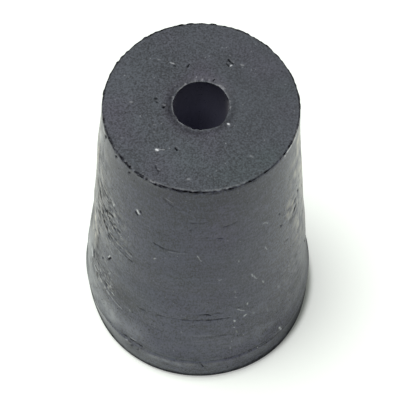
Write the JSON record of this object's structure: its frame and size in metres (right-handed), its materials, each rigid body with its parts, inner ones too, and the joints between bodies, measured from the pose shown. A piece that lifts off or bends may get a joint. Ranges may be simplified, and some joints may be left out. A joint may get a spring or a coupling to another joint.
{
  "type": "rubber stopper",
  "caption": "Tapered black rubber plug with a raised band round its wide end and a straight hole through it for a glass tube.",
  "frame": {"origin": "centre of the wide face, on the axis of the hole", "axes": "+Z along the hole, from the wide end towards the narrow end; X and Y are free"},
  "size_m": [0.017, 0.017, 0.025],
  "materials": {
    "rubber": "moulded black rubber, matt, with light scuffs"
  },
  "bodies": {
    "root": {"stopper": "rubber"}
  },
  "joints": []
}
